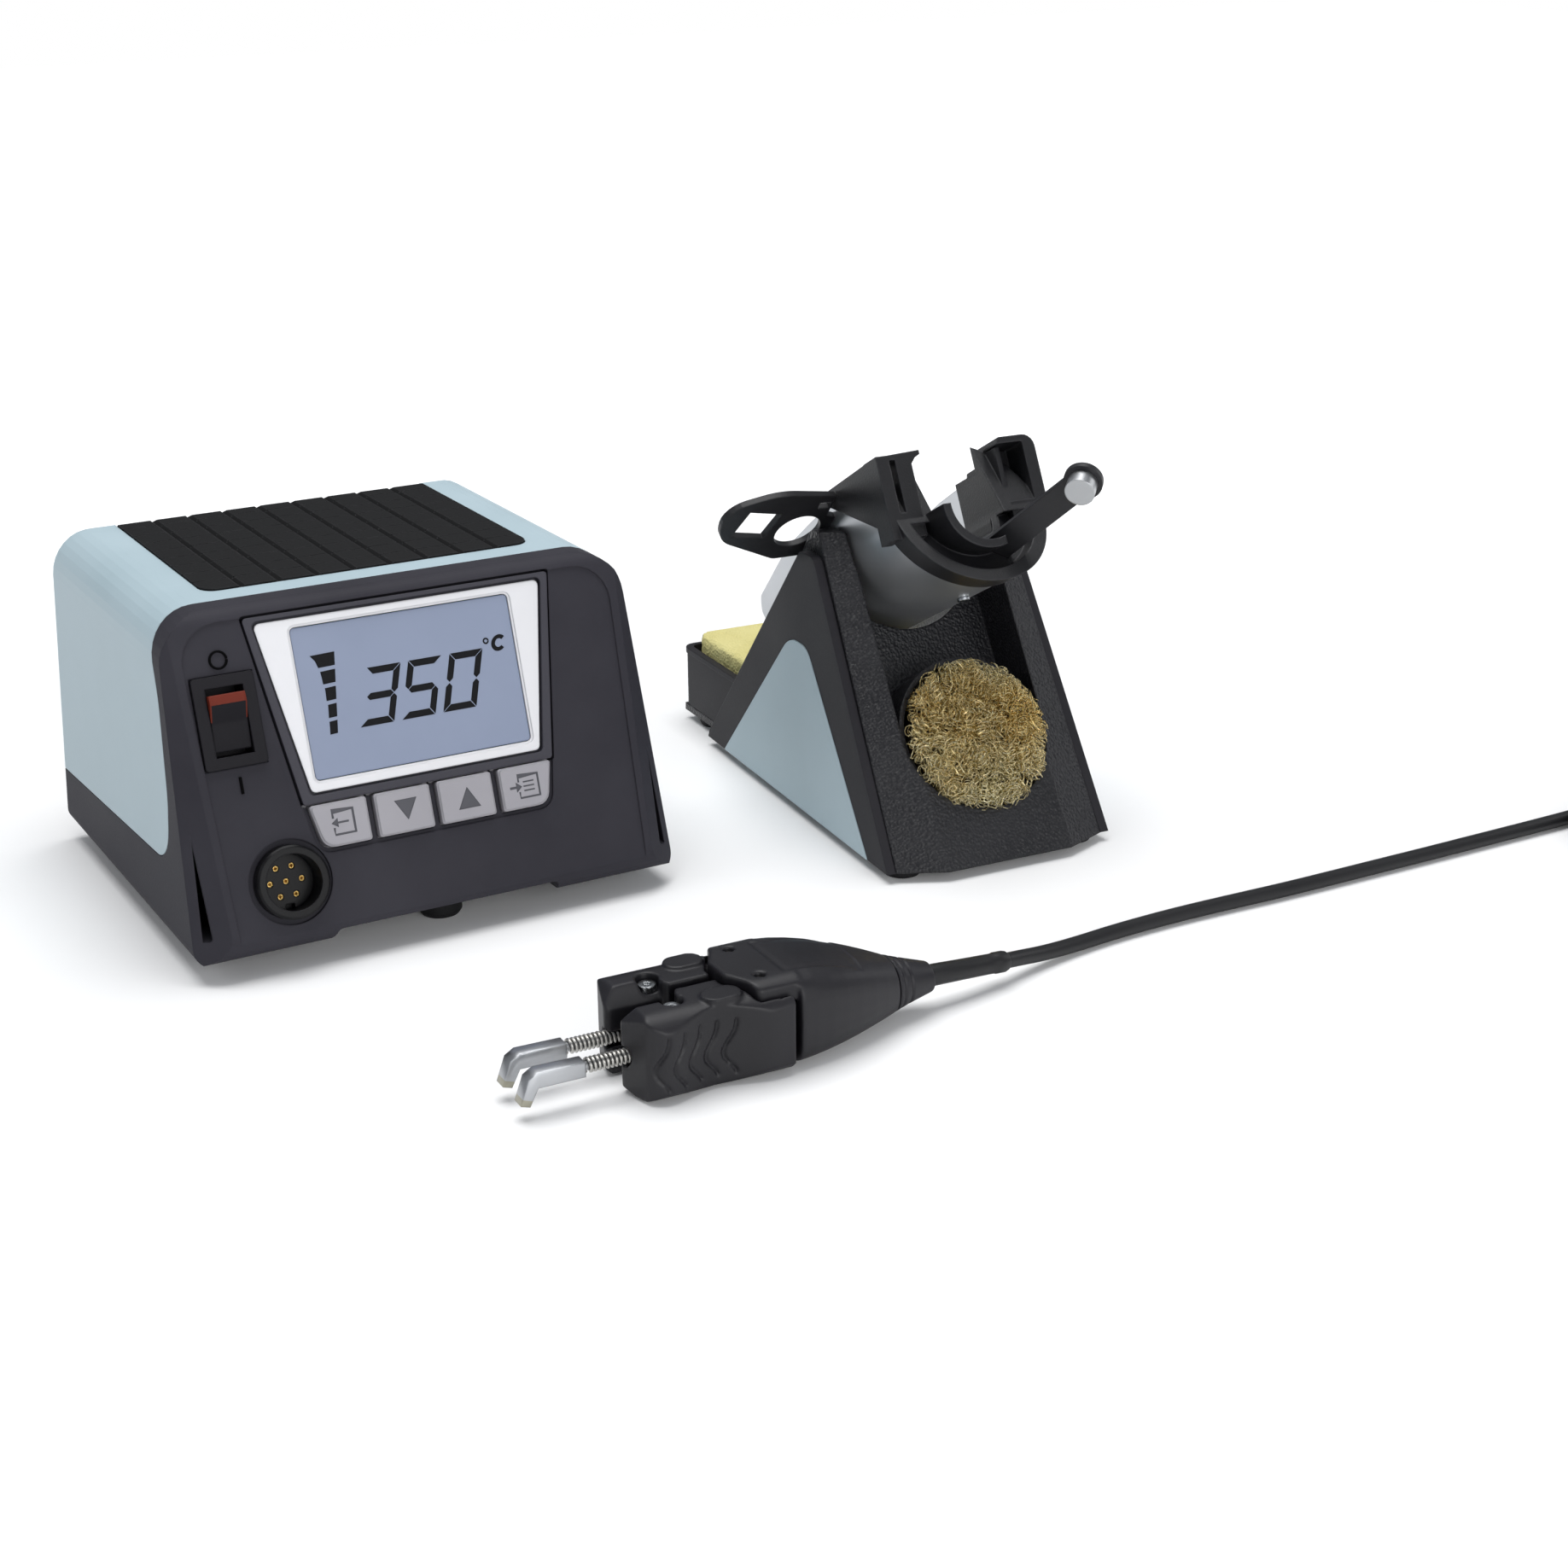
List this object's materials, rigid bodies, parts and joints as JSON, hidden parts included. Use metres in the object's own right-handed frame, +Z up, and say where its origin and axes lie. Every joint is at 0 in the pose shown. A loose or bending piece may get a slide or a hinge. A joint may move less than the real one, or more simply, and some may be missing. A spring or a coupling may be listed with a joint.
{
  "type": "soldering station",
  "caption": "Soldering station: leaning-front control unit with display, keys, rocker switch and round socket, a safety stand with tilting guard, and tweezers on a lead.",
  "frame": {"origin": "on the bench, under the middle of the control unit, stand and tweezers", "axes": "+X runs from the control unit to the stand and along the lead, +Y towards the rear, +Z up"},
  "size_m": [0.4856, 0.3164, 0.1276],
  "materials": {
    "blue_plastic": "pale blue moulded plastic, satin",
    "black_plastic": "black moulded plastic, satin",
    "panel_plastic": "dark textured plastic",
    "rubber_mat": "black ribbed rubber",
    "silver_paint": "silver painted bezel",
    "display_glass": "blue-grey display behind a clear window",
    "board_laminate": "green circuit board laminate",
    "key_plastic": "grey key caps",
    "switch_plastic": "black switch plastic",
    "gloss_black": "black connector plastic",
    "gold_contact": "gold plated contacts",
    "core_steel": "varnished core laminations",
    "copper_winding": "enamelled copper winding",
    "aluminium_part": "extruded aluminium",
    "nickel_part": "nickel plated metal",
    "rubber_foot": "black rubber",
    "zinc_screw": "bright zinc plated steel",
    "textured_black": "black plastic with a sparkling grain",
    "brass_wool": "curled brass shavings",
    "sponge_cellulose": "yellow cellulose sponge",
    "guard_metal": "satin grey sheet metal",
    "plate_metal": "black coated sheet steel",
    "magnet_nickel": "nickel plated magnet",
    "grip_plastic": "black soft-touch grip plastic",
    "tip_metal": "bright plated tips",
    "spring_steel": "spring wire",
    "cord_rubber": "black silicone lead"
  },
  "bodies": {
    "base": {"hood": "blue_plastic", "base_housing": "black_plastic", "rear_panel": "black_plastic", "top_mat": "rubber_mat", "display_surround": "panel_plastic", "display_frame": "silver_paint", "lcd_panel": "display_glass", "display_board": "board_laminate", "switch_housing": "switch_plastic", "socket_collar": "gloss_black", "socket_insert": "gloss_black", "socket_contacts": "gold_contact", "transformer_core": "core_steel", "transformer_coil": "copper_winding", "power_board": "board_laminate", "heat_sink": "aluminium_part", "mains_inlet": "black_plastic", "inlet_pins": "nickel_part", "fuse_drawer": "black_plastic", "bonding_socket": "nickel_part", "unit_feet": "rubber_foot", "base_screws": "zinc_screw", "stand_body": "textured_black", "side_frames": "black_plastic", "side_inlays": "blue_plastic", "stand_feet": "rubber_foot", "wool_cup": "textured_black", "brass_wool": "brass_wool", "pivot_pins": "black_plastic", "grip_housing": "grip_plastic", "end_cap": "grip_plastic", "hinge_pins": "nickel_part", "spread_spring": "spring_steel", "lead_sleeve": "cord_rubber", "cord": "cord_rubber", "cord_coil": "cord_rubber", "plug_body": "gloss_black", "plug_pins": "gold_contact"},
    "rocker": {"rocker": "switch_plastic"},
    "key_exit": {"key_exit": "key_plastic"},
    "key_down": {"key_down": "key_plastic"},
    "key_up": {"key_up": "key_plastic"},
    "key_menu": {"key_menu": "key_plastic"},
    "holder": {"guard_shell": "guard_metal", "holder_deck": "textured_black", "magnet_arm": "plate_metal", "magnet": "magnet_nickel", "tool_plate": "plate_metal", "holder_screws": "zinc_screw"},
    "tray": {"sponge_tray": "black_plastic", "sponge": "sponge_cellulose"},
    "left_arm_set": {"left_arm": "grip_plastic", "left_tip": "tip_metal", "left_spring": "spring_steel", "left_screw": "zinc_screw"},
    "right_arm_set": {"right_arm": "grip_plastic", "right_tip": "tip_metal", "right_spring": "spring_steel", "right_screw": "zinc_screw"}
  },
  "joints": [
    {"name": "rocker_tilt", "type": "hinge", "parent": "base", "child": "rocker", "pos_m": [-0.12415, 0.01751, 0.06993], "axis": [-1, 0, 0], "range_deg": [0, 20]},
    {"name": "key_exit_press", "type": "slide", "parent": "base", "child": "key_exit", "axis": [0, 0.9516, -0.3074], "range_m": [0, 0.0008], "stiffness_N_per_m": 200, "springref_m": -0.002},
    {"name": "key_down_press", "type": "slide", "parent": "base", "child": "key_down", "axis": [0, 0.9516, -0.3074], "range_m": [0, 0.0008], "stiffness_N_per_m": 200, "springref_m": -0.002},
    {"name": "key_up_press", "type": "slide", "parent": "base", "child": "key_up", "axis": [0, 0.9516, -0.3074], "range_m": [0, 0.0008], "stiffness_N_per_m": 200, "springref_m": -0.002},
    {"name": "key_menu_press", "type": "slide", "parent": "base", "child": "key_menu", "axis": [0, 0.9516, -0.3074], "range_m": [0, 0.0008], "stiffness_N_per_m": 200, "springref_m": -0.002},
    {"name": "holder_tilt", "type": "hinge", "parent": "base", "child": "holder", "pos_m": [0.10435, 0.02726, 0.084], "axis": [0.9981, -0.061, 0], "range_deg": [-12, 12]},
    {"name": "tray_slide", "type": "slide", "parent": "base", "child": "tray", "axis": [0.061, 0.9981, 0], "range_m": [0, 0.058]},
    {"name": "left_arm_squeeze", "type": "hinge", "parent": "base", "child": "left_arm_set", "pos_m": [-0.03146, -0.1048, 0.012], "axis": [0, 0, 1], "range_deg": [0, 3], "stiffness_Nm_per_rad": 0.5, "springref_deg": -2.86},
    {"name": "right_arm_squeeze", "type": "hinge", "parent": "base", "child": "right_arm_set", "pos_m": [-0.03209, -0.12279, 0.012], "axis": [0, 0, 1], "range_deg": [-3, 0], "stiffness_Nm_per_rad": 0.5, "springref_deg": 2.86}
  ],
  "couplings": [
    {"joint": "right_arm_squeeze", "follows": "left_arm_squeeze", "ratio": -1}
  ]
}
